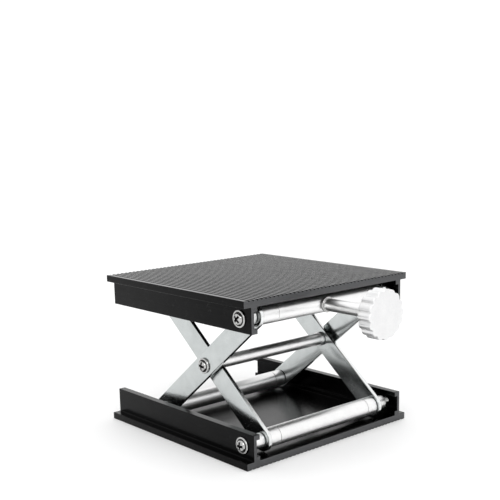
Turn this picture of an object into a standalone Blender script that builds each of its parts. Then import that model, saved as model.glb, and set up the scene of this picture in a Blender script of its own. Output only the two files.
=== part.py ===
"""Small scissor lab jack: two ribbed aluminium plates, crossed flat arms, a lead screw and a knob.

Frame: +X to the right seen from the knob side, the knob side is -Y, +Z is up, and the origin is
the centre of the base plate's underside. All sizes are in metres.
"""
import math

import bmesh
import bpy
import numpy as np

MM = 0.001

# --- driving dimensions -------------------------------------------------------------------
PLATE_SIZE = 90.0 * MM          # both plates are square
PLATE_THICKNESS = 2.8 * MM
REST_HEIGHT = 64.0 * MM         # underside of the base to the top of the platform
GAP = 0.3 * MM                  # play kept between touching pieces

WALL_HEIGHT = 12.9 * MM         # outer face of a plate to the free edge of its side walls
WALL_OUTER_X = 41.5 * MM
WALL_INNER_X = 38.5 * MM        # face of the two lips of the inward channel
CHANNEL_FLOOR_X = 40.1 * MM
CHANNEL_LOW_Z = 4.6 * MM
CHANNEL_HIGH_Z = 10.95 * MM
EDGE_CHAMFER = 0.3 * MM

RIB_PITCH = 2.07 * MM
RIB_CREST = 1.2 * MM            # flat width left between two grooves
RIB_DEPTH = 0.45 * MM
RIBS_EACH_SIDE = 21

PIVOT_Z = 7.7 * MM              # from a plate's outer face, the middle of its channels
PIVOT_Y = -38.5 * MM            # front pivots, above each other

ARM_LENGTH = 77.0 * MM          # pivot to pivot
ARM_WIDTH = 9.3 * MM
ARM_THICKNESS = 2.0 * MM
INNER_ARM_X = 31.4 * MM         # mid-plane of an inner arm
OUTER_ARM_X = 34.3 * MM

AXLE_RADIUS = 2.2 * MM
BAR_RADIUS = 3.8 * MM
REAR_BAR_RADIUS = 3.8 * MM
SPACER_RADIUS = 2.9 * MM
AXLE_END_X = 37.0 * MM
TOP_SLEEVE_LENGTH = 7.9 * MM
BOTTOM_SLEEVE_LENGTH = 5.0 * MM
ROLLER_RADIUS = 2.85 * MM
ROLLER_INNER_X = 36.7 * MM
ROLLER_OUTER_X = 39.8 * MM

CENTRE_ROD_RADIUS = 2.6 * MM
COLLAR_RADIUS = 3.1 * MM
COLLAR_LENGTH = 1.0 * MM
WASHER_RADIUS = 3.7 * MM

SCREW_SHANK_RADIUS = 1.4 * MM
SCREW_HEAD_RADIUS = 3.35 * MM
SCREW_HEAD_HEIGHT = 1.7 * MM
CENTRE_HEAD_RADIUS = 3.2 * MM
CROSS_LENGTH = 3.9 * MM
CROSS_WIDTH = 0.95 * MM
CROSS_DEPTH = 1.1 * MM

LEAD_RADIUS = 2.5 * MM
LEAD_BACK_Y = 42.0 * MM
GROOVE_RADIUS = 2.0 * MM
CLIP_THICKNESS = 0.6 * MM
CLIP_RADIUS = 3.15 * MM

KNOB_RADIUS = 9.6 * MM
KNOB_FRONT_Y = -73.0 * MM
KNOB_THICKNESS = 6.0 * MM
KNOB_CHAMFER = 0.45 * MM
KNOB_FLUTES = 16
FLUTE_DEPTH = 0.75 * MM
KNOB_BORE_DEPTH = 4.6 * MM

ROUND_STEPS = 20
SMALL_STEPS = 16
FLUTE_STEPS = 5
ARC_STEPS = 8

# --- worked out from the driving dimensions -----------------------------------------------
REST_ANGLE = math.asin((REST_HEIGHT - 2 * PIVOT_Z) / ARM_LENGTH)
HALF_ARM = ARM_LENGTH / 2
INNER_FACE_X = INNER_ARM_X - ARM_THICKNESS / 2
INNER_OUTSIDE_X = INNER_ARM_X + ARM_THICKNESS / 2
OUTER_FACE_X = OUTER_ARM_X - ARM_THICKNESS / 2
OUTER_OUTSIDE_X = OUTER_ARM_X + ARM_THICKNESS / 2
AXLE_HOLE_RADIUS = AXLE_RADIUS + GAP
SCREW_HOLE_RADIUS = SCREW_SHANK_RADIUS + GAP
SCREW_REACH = 9.0 * MM          # how far a side screw runs into the end of its axle

# Finish of each family of pieces: colour, roughness, metallic.
FINISHES = {
    "black_anodised": ((0.035, 0.036, 0.038, 1.0), 0.42, 0.85),
    "zinc_plated": ((0.70, 0.73, 0.72, 1.0), 0.22, 1.0),
    "bright_steel": ((0.82, 0.82, 0.82, 1.0), 0.16, 1.0),
    "silver_alloy": ((0.86, 0.86, 0.86, 1.0), 0.34, 1.0),
    "nickel_screw": ((0.66, 0.66, 0.66, 1.0), 0.20, 1.0),
}
SIDES = (("left", -1.0), ("right", 1.0))


def clear_scene():
    """Remove every object of the opened file."""
    for item in list(bpy.data.objects):
        bpy.data.objects.remove(item, do_unlink=True)


def make_material(name, finish):
    """A plain Principled material in one of the named finishes."""
    colour, roughness, metallic = FINISHES[finish]
    material = bpy.data.materials.new(name)
    material.use_nodes = True
    shader = material.node_tree.nodes["Principled BSDF"]
    shader.inputs["Base Color"].default_value = colour
    shader.inputs["Roughness"].default_value = roughness
    shader.inputs["Metallic"].default_value = metallic
    material.diffuse_color = colour
    return material


def add_axis(name, location, angle, parent=None):
    """An empty on a joint's axis. It turns about X, and carries the pieces of one moving body."""
    axis = bpy.data.objects.new(name, None)
    axis.location = location
    axis.rotation_euler = (angle, 0.0, 0.0)
    axis.parent = parent
    bpy.context.collection.objects.link(axis)
    return axis


def add_piece(name, shape, finish, parent=None, location=(0.0, 0.0, 0.0)):
    """Turn a bmesh into a named object with its own material."""
    mesh = bpy.data.meshes.new(name)
    bmesh.ops.recalc_face_normals(shape, faces=shape.faces)
    shape.to_mesh(mesh)
    shape.free()
    mesh.shade_smooth()
    mesh.set_sharp_from_angle(angle=math.radians(35))
    mesh.materials.append(make_material(name, finish))
    piece = bpy.data.objects.new(name, mesh)
    piece.parent = parent
    piece.location = location
    bpy.context.collection.objects.link(piece)
    return piece


def cut(target, name, shape):
    """Take a shape, given in the target's own frame, out of the target."""
    mesh = bpy.data.meshes.new(name)
    bmesh.ops.recalc_face_normals(shape, faces=shape.faces)
    shape.to_mesh(mesh)
    shape.free()
    cutter = bpy.data.objects.new(name, mesh)
    cutter.parent = target.parent
    cutter.location = target.location
    cutter.rotation_euler = target.rotation_euler
    cutter.hide_render = True
    cutter.display_type = "WIRE"
    bpy.context.collection.objects.link(cutter)
    modifier = target.modifiers.new(name, "BOOLEAN")
    modifier.operation = "DIFFERENCE"
    modifier.solver = "EXACT"
    modifier.object = cutter


def turned(stations, along="X", steps=ROUND_STEPS, closed=False):
    """Body of revolution about X or Y through (distance, radius) stations.

    A station of radius 0 is a pole. With closed set, the last station joins the first one, which
    makes a ring or a tube; otherwise the two end stations get flat or pointed ends.
    """
    shape = bmesh.new()
    angles = np.arange(steps) * 2 * math.pi / steps
    rings = []
    for distance, radius in stations:
        if radius == 0.0:
            point = (distance, 0.0, 0.0) if along == "X" else (0.0, distance, 0.0)
            rings.append([shape.verts.new(point)])
            continue
        ring = []
        for angle in angles:
            a = radius * math.cos(angle)
            b = radius * math.sin(angle)
            point = (distance, a, b) if along == "X" else (a, distance, b)
            ring.append(shape.verts.new(point))
        rings.append(ring)
    pairs = list(zip(rings, rings[1:]))
    if closed:
        pairs.append((rings[-1], rings[0]))
    for first, second in pairs:
        for i in range(steps):
            j = (i + 1) % steps
            corners = [first[i % len(first)], first[j % len(first)],
                       second[j % len(second)], second[i % len(second)]]
            shape.faces.new(dict.fromkeys(corners))
    if not closed:
        for ring in (rings[0], rings[-1]):
            if len(ring) > 1:
                shape.faces.new(ring)
    return shape


def rod(start, end, radius, chamfer=0.2 * MM, along="X", steps=ROUND_STEPS):
    """Solid round rod with a small chamfer at both ends."""
    stations = [(start, radius - chamfer), (start + chamfer, radius),
                (end - chamfer, radius), (end, radius - chamfer)]
    return turned(stations, along, steps)


def tube(start, end, bore, radius, steps=ROUND_STEPS, along="X"):
    """Tube, sleeve or washer with square ends."""
    stations = [(start, bore), (start, radius), (end, radius), (end, bore)]
    return turned(stations, along, steps, closed=True)


def prism(outline, low, high, along):
    """Closed outline extruded between two distances along X or Y.

    The outline's points are (y, z) when it runs along X, and (x, z) when it runs along Y.
    """
    shape = bmesh.new()
    if along == "X":
        loops = [[shape.verts.new((d, a, b)) for a, b in outline] for d in (low, high)]
    else:
        loops = [[shape.verts.new((a, d, b)) for a, b in outline] for d in (low, high)]
    shape.faces.new(loops[0])
    shape.faces.new(loops[1])
    count = len(outline)
    for i in range(count):
        j = (i + 1) % count
        shape.faces.new((loops[0][i], loops[0][j], loops[1][j], loops[1][i]))
    return shape


def plate_outline():
    """Cross-section of a plate in its own frame, ribbed side down at z = 0, walls upwards."""
    edge = PLATE_SIZE / 2
    ribs = []
    for k in range(-RIBS_EACH_SIDE, RIBS_EACH_SIDE):
        middle = k * RIB_PITCH
        ribs.append((middle + RIB_CREST / 2, 0.0))
        ribs.append((middle + RIB_PITCH / 2, RIB_DEPTH))
        ribs.append((middle + RIB_PITCH - RIB_CREST / 2, 0.0))
    right = [
        (edge - EDGE_CHAMFER, 0.0),
        (edge, EDGE_CHAMFER),
        (edge, PLATE_THICKNESS),
        (WALL_OUTER_X, PLATE_THICKNESS),
        (WALL_OUTER_X, WALL_HEIGHT),
        (WALL_INNER_X, WALL_HEIGHT),
        (WALL_INNER_X, CHANNEL_HIGH_Z),
        (CHANNEL_FLOOR_X, CHANNEL_HIGH_Z),
        (CHANNEL_FLOOR_X, CHANNEL_LOW_Z),
        (WALL_INNER_X, CHANNEL_LOW_Z),
        (WALL_INNER_X, PLATE_THICKNESS),
    ]
    left = [(-x, z) for x, z in reversed(right)]
    return ribs + right + left


def add_plate(name, parent, location, turn):
    """One ribbed extrusion with its two screw holes; turn is its rotation about Y."""
    half = PLATE_SIZE / 2
    plate = add_piece(name, prism(plate_outline(), -half, half, "Y"), "black_anodised", parent, location)
    plate.rotation_euler = (0.0, turn, 0.0)
    hole = tube_hole(WALL_OUTER_X + 2 * MM, PIVOT_Y, PIVOT_Z, SCREW_HOLE_RADIUS)
    cut(plate, name + "_screw_holes", hole)
    return plate


def tube_hole(reach, y, z, radius):
    """Long cylinder along X through (y, z), from -reach to +reach, to cut holes with."""
    shape = turned([(-reach, radius), (reach, radius)], "X", SMALL_STEPS)
    bmesh.ops.translate(shape, vec=(0.0, y, z), verts=shape.verts)
    return shape


def arm_outline(start):
    """Flat strip with round ends, from start to start + ARM_LENGTH along Y, about z = 0."""
    radius = ARM_WIDTH / 2
    sweep = np.linspace(-math.pi / 2, math.pi / 2, ARC_STEPS + 1)
    far_end = [(start + ARM_LENGTH + radius * math.cos(a), radius * math.sin(a)) for a in sweep]
    near_end = [(start - radius * math.cos(a), -radius * math.sin(a)) for a in sweep]
    return far_end + near_end


def add_arm(name, parent, middle_x, start):
    """One arm, with an axle hole at each end and a screw hole in the middle."""
    low = middle_x - ARM_THICKNESS / 2
    high = middle_x + ARM_THICKNESS / 2
    arm = add_piece(name, prism(arm_outline(start), low, high, "X"), "zinc_plated", parent)
    holes = (("near", 0.0, AXLE_HOLE_RADIUS), ("middle", HALF_ARM, SCREW_HOLE_RADIUS),
             ("far", ARM_LENGTH, AXLE_HOLE_RADIUS))
    for label, distance, radius in holes:
        hole = tube_hole(WALL_OUTER_X, start + distance, 0.0, radius)
        cut(arm, name + "_" + label + "_hole", hole)


def add_pan_screw(name, parent, side, seat_x, tip_x, head_radius, y=0.0, z=0.0):
    """Pan-head screw along X with a cross recess; its head sits on a face at seat_x."""
    height = SCREW_HEAD_HEIGHT
    rise = np.linspace(0.0, math.pi / 2, 5)[1:-1]
    dome = [(seat_x + 0.35 * height + 0.65 * height * math.sin(a),
             head_radius * (0.55 + 0.45 * math.cos(a))) for a in rise]
    stations = [(tip_x, 0.6 * SCREW_SHANK_RADIUS), (tip_x + 0.6 * MM, SCREW_SHANK_RADIUS),
                (seat_x, SCREW_SHANK_RADIUS), (seat_x, head_radius),
                (seat_x + 0.35 * height, head_radius)]
    stations = stations + dome + [(seat_x + height, 0.5 * head_radius)]
    stations = [(side * distance, radius) for distance, radius in stations]
    screw = add_piece(name, turned(stations, "X", SMALL_STEPS), "nickel_screw", parent, (0.0, y, z))
    top = seat_x + height
    cross = [(CROSS_LENGTH, CROSS_WIDTH), (CROSS_WIDTH, CROSS_LENGTH)]
    for index, (wide, tall) in enumerate(cross):
        cut(screw, name + "_recess_" + str(index), recess_blade(side, top, wide, tall))


def recess_blade(side, top, wide, tall):
    """Tapered blade of a cross recess, narrower at its bottom than at the screw's top."""
    shape = bmesh.new()
    loops = []
    for distance, scale in ((top + 0.3 * MM, 1.0), (top - CROSS_DEPTH, 0.7)):
        y = wide / 2 * (scale if wide > tall else 1.0)
        z = tall / 2 * (scale if tall > wide else 1.0)
        corners = ((-y, -z), (y, -z), (y, z), (-y, z))
        loops.append([shape.verts.new((side * distance, a, b)) for a, b in corners])
    shape.faces.new(loops[0])
    shape.faces.new(loops[1])
    for i in range(4):
        j = (i + 1) % 4
        shape.faces.new((loops[0][i], loops[0][j], loops[1][j], loops[1][i]))
    return shape


def add_sided(name, parent, low, high, bore, radius, finish="bright_steel", y=0.0, z=0.0):
    """A left and a right ring between |x| = low and high."""
    for label, side in SIDES:
        ring = tube(side * low, side * high, bore, radius, SMALL_STEPS)
        add_piece(name + "_" + label, ring, finish, parent, (0.0, y, z))


def add_axle_screws(name, parent, y=0.0, z=0.0):
    """The screws that hold an axle between the two side walls of a plate."""
    for label, side in SIDES:
        add_pan_screw(name + "_" + label, parent, side, WALL_OUTER_X + 0.1 * MM,
                      AXLE_END_X - SCREW_REACH, SCREW_HEAD_RADIUS, y, z)


def axle_stations(end_x, bar_end_x=None, bar_radius=None, screw_bore=None):
    """Half profile of a cross bar, from its left end to its right end.

    bar_end_x and bar_radius give a thicker middle; screw_bore is the depth of the hole that takes
    a screw in each end.
    """
    right = []
    if bar_end_x is not None:
        right.append((bar_end_x, bar_radius))
        right.append((bar_end_x, AXLE_RADIUS))
    right.append((end_x - 0.2 * MM, AXLE_RADIUS))
    right.append((end_x, AXLE_RADIUS - 0.2 * MM))
    if screw_bore is not None:
        right.append((end_x, SCREW_HOLE_RADIUS))
        right.append((end_x - screw_bore, SCREW_HOLE_RADIUS))
        right.append((end_x - screw_bore - 0.8 * MM, 0.0))
    left = [(-distance, radius) for distance, radius in reversed(right)]
    return left + right


def knob_shape():
    """Fluted disc about Y: radius = R - depth * (half wave) ** 2 around the rim, chamfered."""
    count = KNOB_FLUTES * FLUTE_STEPS
    angles = np.arange(count) * 2 * math.pi / count
    wave = 0.5 - 0.5 * np.cos(KNOB_FLUTES * angles)
    rim = KNOB_RADIUS - FLUTE_DEPTH * wave ** 2
    back = KNOB_FRONT_Y + KNOB_THICKNESS
    stations = ((KNOB_FRONT_Y, KNOB_CHAMFER), (KNOB_FRONT_Y + KNOB_CHAMFER, 0.0),
                (back - KNOB_CHAMFER, 0.0), (back, KNOB_CHAMFER))
    shape = bmesh.new()
    rings = []
    for y, inset in stations:
        x = (rim - inset) * np.sin(angles)
        z = (rim - inset) * np.cos(angles)
        rings.append([shape.verts.new((a, y, b)) for a, b in zip(x, z)])
    for first, second in zip(rings, rings[1:]):
        for i in range(count):
            j = (i + 1) % count
            shape.faces.new((first[i], first[j], second[j], second[i]))
    shape.faces.new(rings[0])
    shape.faces.new(rings[-1])
    return shape


def build_base():
    """Base plate with the front bottom axle, its tube, sleeves, spacers and screws."""
    add_plate("base_plate", None, (0.0, 0.0, 0.0), 0.0)
    place = (0.0, PIVOT_Y, PIVOT_Z)
    axle = turned(axle_stations(AXLE_END_X, screw_bore=SCREW_REACH + 0.4 * MM), "X", SMALL_STEPS)
    add_piece("bottom_axle", axle, "bright_steel", None, place)
    sleeve_out = INNER_FACE_X - GAP
    sleeve_in = sleeve_out - BOTTOM_SLEEVE_LENGTH
    tube_end = sleeve_in - GAP
    middle = tube(-tube_end, tube_end, AXLE_HOLE_RADIUS, BAR_RADIUS)
    add_piece("bottom_tube", middle, "bright_steel", None, place)
    add_sided("bottom_sleeve", None, sleeve_in, sleeve_out, AXLE_HOLE_RADIUS, BAR_RADIUS,
              y=PIVOT_Y, z=PIVOT_Z)
    add_sided("bottom_spacer", None, INNER_OUTSIDE_X + GAP, AXLE_END_X, AXLE_HOLE_RADIUS,
              SPACER_RADIUS, y=PIVOT_Y, z=PIVOT_Z)
    add_axle_screws("bottom_screw", None, PIVOT_Y, PIVOT_Z)


def build_inner_arms():
    """Inner arms on the front bottom axle, with the centre rod that they carry."""
    axis = add_axis("inner_arms_axis", (0.0, PIVOT_Y, PIVOT_Z), REST_ANGLE)
    for label, side in SIDES:
        add_arm("inner_arm_" + label, axis, side * INNER_ARM_X, 0.0)
    collar_out = INNER_FACE_X - GAP
    rod_end = collar_out
    bore = SCREW_REACH
    right = [(rod_end, CENTRE_ROD_RADIUS), (rod_end, SCREW_HOLE_RADIUS),
             (rod_end - bore, SCREW_HOLE_RADIUS), (rod_end - bore - 0.8 * MM, 0.0)]
    stations = [(-distance, radius) for distance, radius in reversed(right)] + right
    add_piece("centre_rod", turned(stations, "X", SMALL_STEPS), "bright_steel", axis, (0.0, HALF_ARM, 0.0))
    add_sided("centre_collar", axis, collar_out - COLLAR_LENGTH, collar_out,
              CENTRE_ROD_RADIUS + GAP, COLLAR_RADIUS, y=HALF_ARM)
    for label, side in SIDES:
        add_pan_screw("centre_screw_" + label, axis, side, OUTER_OUTSIDE_X + 0.1 * MM,
                      rod_end - SCREW_REACH + 0.6 * MM, CENTRE_HEAD_RADIUS, y=HALF_ARM)
    return axis


def build_outer_arms(inner_axis):
    """Outer arms, crossed with the inner ones at their middle, and the washers between them."""
    axis = add_axis("outer_arms_axis", (0.0, HALF_ARM, 0.0), -2 * REST_ANGLE, inner_axis)
    for label, side in SIDES:
        add_arm("outer_arm_" + label, axis, side * OUTER_ARM_X, -HALF_ARM)
    add_sided("centre_washer", axis, INNER_OUTSIDE_X + GAP, OUTER_FACE_X - GAP,
              SCREW_HOLE_RADIUS, WASHER_RADIUS, "nickel_screw")
    return axis


def add_slider(name, axis, arm_face_x, arm_outside_x, bar_radius):
    """Rear cross bar with its sleeves and spacers, and a roller for each channel."""
    sleeve_out = arm_face_x - GAP
    sleeve_in = sleeve_out - BOTTOM_SLEEVE_LENGTH
    bar_end = sleeve_in - GAP
    stations = axle_stations(ROLLER_OUTER_X, bar_end, bar_radius)
    bar = add_piece(name + "_bar", turned(stations, "X"), "bright_steel", axis)
    add_sided(name + "_sleeve", axis, sleeve_in, sleeve_out, AXLE_HOLE_RADIUS, bar_radius)
    add_sided(name + "_spacer", axis, arm_outside_x + GAP, ROLLER_INNER_X - GAP,
              AXLE_HOLE_RADIUS, SPACER_RADIUS)
    add_sided(name + "_roller", axis, ROLLER_INNER_X, ROLLER_OUTER_X, AXLE_HOLE_RADIUS,
              ROLLER_RADIUS, "nickel_screw")
    return bar


def build_sliders(inner_axis, outer_axis):
    """The lower slider on the outer arms, and the nut bar on the inner arms."""
    low_axis = add_axis("slider_axis", (0.0, HALF_ARM, 0.0), REST_ANGLE, outer_axis)
    add_slider("slider", low_axis, OUTER_FACE_X, OUTER_OUTSIDE_X, REAR_BAR_RADIUS)
    nut_axis = add_axis("nut_axis", (0.0, ARM_LENGTH, 0.0), -REST_ANGLE, inner_axis)
    nut_bar = add_slider("nut", nut_axis, INNER_FACE_X, INNER_OUTSIDE_X, BAR_RADIUS)
    cut(nut_bar, "nut_thread_hole", lead_hole())


def lead_hole():
    """Cylinder along Y that clears the lead screw, to cross-drill a bar with."""
    reach = 2 * BAR_RADIUS
    return turned([(-reach, LEAD_RADIUS + GAP), (reach, LEAD_RADIUS + GAP)], "Y", SMALL_STEPS)


def build_platform(outer_axis):
    """Top plate with the front top bar, its sleeves, spacers and screws."""
    axis = add_axis("platform_axis", (0.0, -HALF_ARM, 0.0), REST_ANGLE, outer_axis)
    add_plate("top_plate", axis, (0.0, -PIVOT_Y, PIVOT_Z), math.pi)
    sleeve_out = OUTER_FACE_X - GAP
    sleeve_in = sleeve_out - TOP_SLEEVE_LENGTH
    bar_end = sleeve_in - GAP
    stations = axle_stations(AXLE_END_X, bar_end, BAR_RADIUS, SCREW_REACH + 0.4 * MM)
    top_bar = add_piece("top_bar", turned(stations, "X"), "bright_steel", axis)
    cut(top_bar, "top_bar_cross_hole", lead_hole())
    add_sided("top_sleeve", axis, sleeve_in, sleeve_out, AXLE_HOLE_RADIUS, BAR_RADIUS)
    add_sided("top_spacer", axis, OUTER_OUTSIDE_X + GAP, AXLE_END_X, AXLE_HOLE_RADIUS, SPACER_RADIUS)
    add_axle_screws("top_screw", axis)
    return axis


def build_lead_screw(platform_axis):
    """Lead screw through the front top bar, its two retaining clips and the knob."""
    axis = add_axis("lead_screw_axis", (0.0, 0.0, 0.0), 0.0, platform_axis)
    shift = -PIVOT_Y
    front = KNOB_FRONT_Y + KNOB_THICKNESS - KNOB_BORE_DEPTH + GAP + shift
    back = LEAD_BACK_Y + shift
    chamfer = 0.5 * MM
    clip_start = BAR_RADIUS + GAP
    groove = (clip_start - GAP, clip_start + CLIP_THICKNESS + GAP)
    stations = [(front, LEAD_RADIUS - chamfer), (front + chamfer, LEAD_RADIUS)]
    for low, high in ((-groove[1], -groove[0]), groove):
        stations.append((low, LEAD_RADIUS))
        stations.append((low, GROOVE_RADIUS))
        stations.append((high, GROOVE_RADIUS))
        stations.append((high, LEAD_RADIUS))
    stations.append((back - chamfer, LEAD_RADIUS))
    stations.append((back, LEAD_RADIUS - chamfer))
    add_piece("lead_screw", turned(stations, "Y", SMALL_STEPS), "bright_steel", axis)
    for label, side in (("front", -1.0), ("rear", 1.0)):
        clip = tube(side * clip_start, side * (clip_start + CLIP_THICKNESS), GROOVE_RADIUS + GAP,
                    CLIP_RADIUS, SMALL_STEPS, "Y")
        add_piece("screw_clip_" + label, clip, "nickel_screw", axis)
    knob = add_piece("knob", knob_shape(), "silver_alloy", axis, (0.0, shift, 0.0))
    bore_front = KNOB_FRONT_Y + KNOB_THICKNESS - KNOB_BORE_DEPTH
    bore_back = KNOB_FRONT_Y + KNOB_THICKNESS + 1.0 * MM
    bore = turned([(bore_front, LEAD_RADIUS + GAP), (bore_back, LEAD_RADIUS + GAP)], "Y", SMALL_STEPS)
    cut(knob, "knob_bore", bore)


def main():
    """Build the jack at its rest height."""
    clear_scene()
    build_base()
    inner_axis = build_inner_arms()
    outer_axis = build_outer_arms(inner_axis)
    build_sliders(inner_axis, outer_axis)
    platform_axis = build_platform(outer_axis)
    build_lead_screw(platform_axis)
    bpy.context.view_layer.update()


main()
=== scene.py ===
"""Finished model of a small scissor lab jack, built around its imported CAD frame.

Every piece is a surface worked out with numpy, dressed in a procedural finish, and rides on the
CAD body that it belongs to. Axes: +X is right as seen from the knob, the knob is on the -Y side,
+Z is up, and the origin is the middle of the base plate's underside. Lengths are in metres.
"""

import logging
import math
from collections.abc import Callable, Mapping, Sequence
from dataclasses import dataclass, field
from enum import Enum

import bmesh
import bpy
import numpy as np
from mathutils import Matrix, Vector


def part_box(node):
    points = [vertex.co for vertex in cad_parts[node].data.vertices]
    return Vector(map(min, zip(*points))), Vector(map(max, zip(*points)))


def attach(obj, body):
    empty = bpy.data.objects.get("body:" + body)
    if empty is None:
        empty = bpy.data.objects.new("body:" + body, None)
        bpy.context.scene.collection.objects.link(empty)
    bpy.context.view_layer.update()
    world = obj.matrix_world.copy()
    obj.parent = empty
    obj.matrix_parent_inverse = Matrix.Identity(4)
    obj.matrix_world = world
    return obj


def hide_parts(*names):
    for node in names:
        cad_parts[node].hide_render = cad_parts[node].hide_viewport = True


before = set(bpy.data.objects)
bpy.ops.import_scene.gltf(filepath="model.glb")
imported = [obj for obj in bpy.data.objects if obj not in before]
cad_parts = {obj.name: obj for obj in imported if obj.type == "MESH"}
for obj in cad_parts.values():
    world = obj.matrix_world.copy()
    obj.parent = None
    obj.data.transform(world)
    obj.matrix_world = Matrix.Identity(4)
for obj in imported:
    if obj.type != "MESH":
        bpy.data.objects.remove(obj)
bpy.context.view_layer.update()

LOG = logging.getLogger("lab_jack")
MM = 0.001
TURN = 2 * math.pi
WELD_DISTANCE = 1e-6
ROUND_COLUMNS = 96      # facets round a turned piece
EASE_STEPS = 4          # facets round an eased corner
HOLLOW = "hollow"       # a mesh attribute, 1 deep in the screws' recesses and grooves, where painted shade goes
SIDES = (("left", -1.0), ("right", 1.0))
BAR_RADIUS = 3.8 * MM
AXLE_BORE = 2.35 * MM   # hole of a tube, sleeve, spacer or roller
SPACER_RADIUS = 2.9 * MM
RUNNING_GAP = 0.3 * MM  # between a bar's shoulder and its sleeve in the CAD
SEAM = 0.05 * MM        # how far a tube's end goes into that gap
THREAD_CREST = 0.14     # share of a thread's pitch that its crest takes
THREAD_FLANKS = 0.62    # and its two flanks together

Colour = tuple[float, float, float, float]
Socket = bpy.types.NodeSocket


# --- surfaces -----------------------------------------------------------------------------


class Axis(Enum):
    """Axis that a turned piece lies on, as its three unit vectors: along, across and up."""

    X = ((1.0, 0.0, 0.0), (0.0, 1.0, 0.0), (0.0, 0.0, 1.0))
    Y = ((0.0, 1.0, 0.0), (1.0, 0.0, 0.0), (0.0, 0.0, 1.0))


@dataclass
class Surface:
    """A shell of points and faces.

    points is an array (n, 3). Each block is an array (m, k) of the corners of m faces. hollow
    says for each point how deep in a recess it is, from 0 to 1, and so how much painted shade the
    finish puts there.
    """

    points: np.ndarray
    blocks: list[np.ndarray]
    hollow: np.ndarray | None = None

    def __add__(self, other: "Surface") -> "Surface":
        """Both shells as one."""
        shifted = [block + len(self.points) for block in other.blocks]
        return Surface(np.vstack((self.points, other.points)), self.blocks + shifted)

    def placed(self, origin: Sequence[float], axes: Sequence[Sequence[float]]) -> "Surface":
        """The shell with its three coordinates laid along the given axes, from an origin."""
        return Surface(np.array(origin) + self.points @ np.array(axes), self.blocks, self.hollow)


def joined(*coordinates: object) -> np.ndarray:
    """Coordinates in one array, with the coordinates last."""
    return np.stack(np.broadcast_arrays(*coordinates), axis=-1)


def around(distance: object, radius: object, angle: object) -> np.ndarray:
    """Points at a distance along an axis, and a radius and an angle about it."""
    return joined(distance, radius * np.cos(angle), radius * np.sin(angle))


def lattice(points: np.ndarray, wrap_rows: bool = False, wrap_columns: bool = False,
            skip: np.ndarray | None = None) -> Surface:
    """Quads over a grid of points.

    Args:
        points: array (rows, columns, 3).
        wrap_rows: whether the last row joins the first one.
        wrap_columns: whether the last column joins the first one.
        skip: array (rows, columns) that is true for a cell to leave open, by its first corner.

    Returns:
        The surface, with one quad for each cell.
    """
    rows, columns = points.shape[:2]
    first = np.arange(rows if wrap_rows else rows - 1)
    second = np.arange(columns if wrap_columns else columns - 1)
    r0, c0 = np.meshgrid(first, second, indexing="ij")
    if skip is not None:
        r0, c0 = r0[~skip[r0, c0]], c0[~skip[r0, c0]]
    r1, c1 = (r0 + 1) % rows, (c0 + 1) % columns
    corners = (r0 * columns + c0, r0 * columns + c1, r1 * columns + c1, r1 * columns + c0)
    quads = np.stack(corners, axis=-1).reshape(-1, 4)
    return Surface(points.reshape(-1, 3), [quads])


def eased(corners: Sequence[Sequence[float]], ease: float | Sequence[float],
          closed: bool = False) -> np.ndarray:
    """Rounds the corners of a profile.

    Each corner P becomes the curve (1-s)^2 A + 2s(1-s) P + s^2 B, where A and B are the ease away
    from P on its edges, at most 0.3 of an edge. A point half an ease further out keeps the
    flats' shading flat.

    Args:
        corners: the profile's corner points, in a plane.
        ease: how far from a corner its rounding starts, for all corners or for each of them.
        closed: whether the last corner joins the first one. An open profile keeps its two ends.

    Returns:
        Array (n, 2) of the rounded profile, without repeated points.
    """
    corner = np.array(corners, float)
    amount = np.broadcast_to(np.array(ease, float), len(corner))
    back = np.roll(corner, 1, axis=0) - corner
    ahead = np.roll(corner, -1, axis=0) - corner
    back_length = np.linalg.norm(back, axis=1)
    ahead_length = np.linalg.norm(ahead, axis=1)
    reach = np.minimum(amount, 0.3 * np.minimum(back_length, ahead_length))[:, None]
    start = corner + back / back_length[:, None] * reach
    end = corner + ahead / ahead_length[:, None] * reach
    s = np.linspace(0.0, 1.0, EASE_STEPS + 1)[None, :, None]
    curve = ((1 - s) ** 2 * start[:, None] + 2 * s * (1 - s) * corner[:, None]
             + s ** 2 * end[:, None])
    before = start + 0.5 * (start - corner)
    after = end + 0.5 * (end - corner)
    spans = np.concatenate((before[:, None], curve, after[:, None]), axis=1)
    if not closed:
        spans[0], spans[-1] = corner[0], corner[-1]
    points = spans.reshape(-1, 2)
    step = np.linalg.norm(points - np.roll(points, 1, axis=0), axis=1)
    keep = step > WELD_DISTANCE
    keep[0] = keep[0] or not closed
    return points[keep]


def turned(profile: np.ndarray, axis: Axis, centre: Sequence[float], closed: bool = False,
           columns: int = ROUND_COLUMNS) -> Surface:
    """Surface of revolution: (d, r) goes to d along the axis and r (cos a, sin a) about it.

    Args:
        profile: array (n, 2) of distance along the axis and radius. Radius 0 is a pole.
        axis: the axis that it turns about.
        centre: the axis's point at distance 0.
        closed: whether the profile is a loop, as a ring's is.
        columns: facets round the axis.

    Returns:
        The turned surface.
    """
    angle = np.arange(columns) * TURN / columns
    points = around(profile[:, 0, None], profile[:, 1, None], angle)
    return lattice(points, wrap_rows=closed, wrap_columns=True).placed(centre, axis.value)


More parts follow.
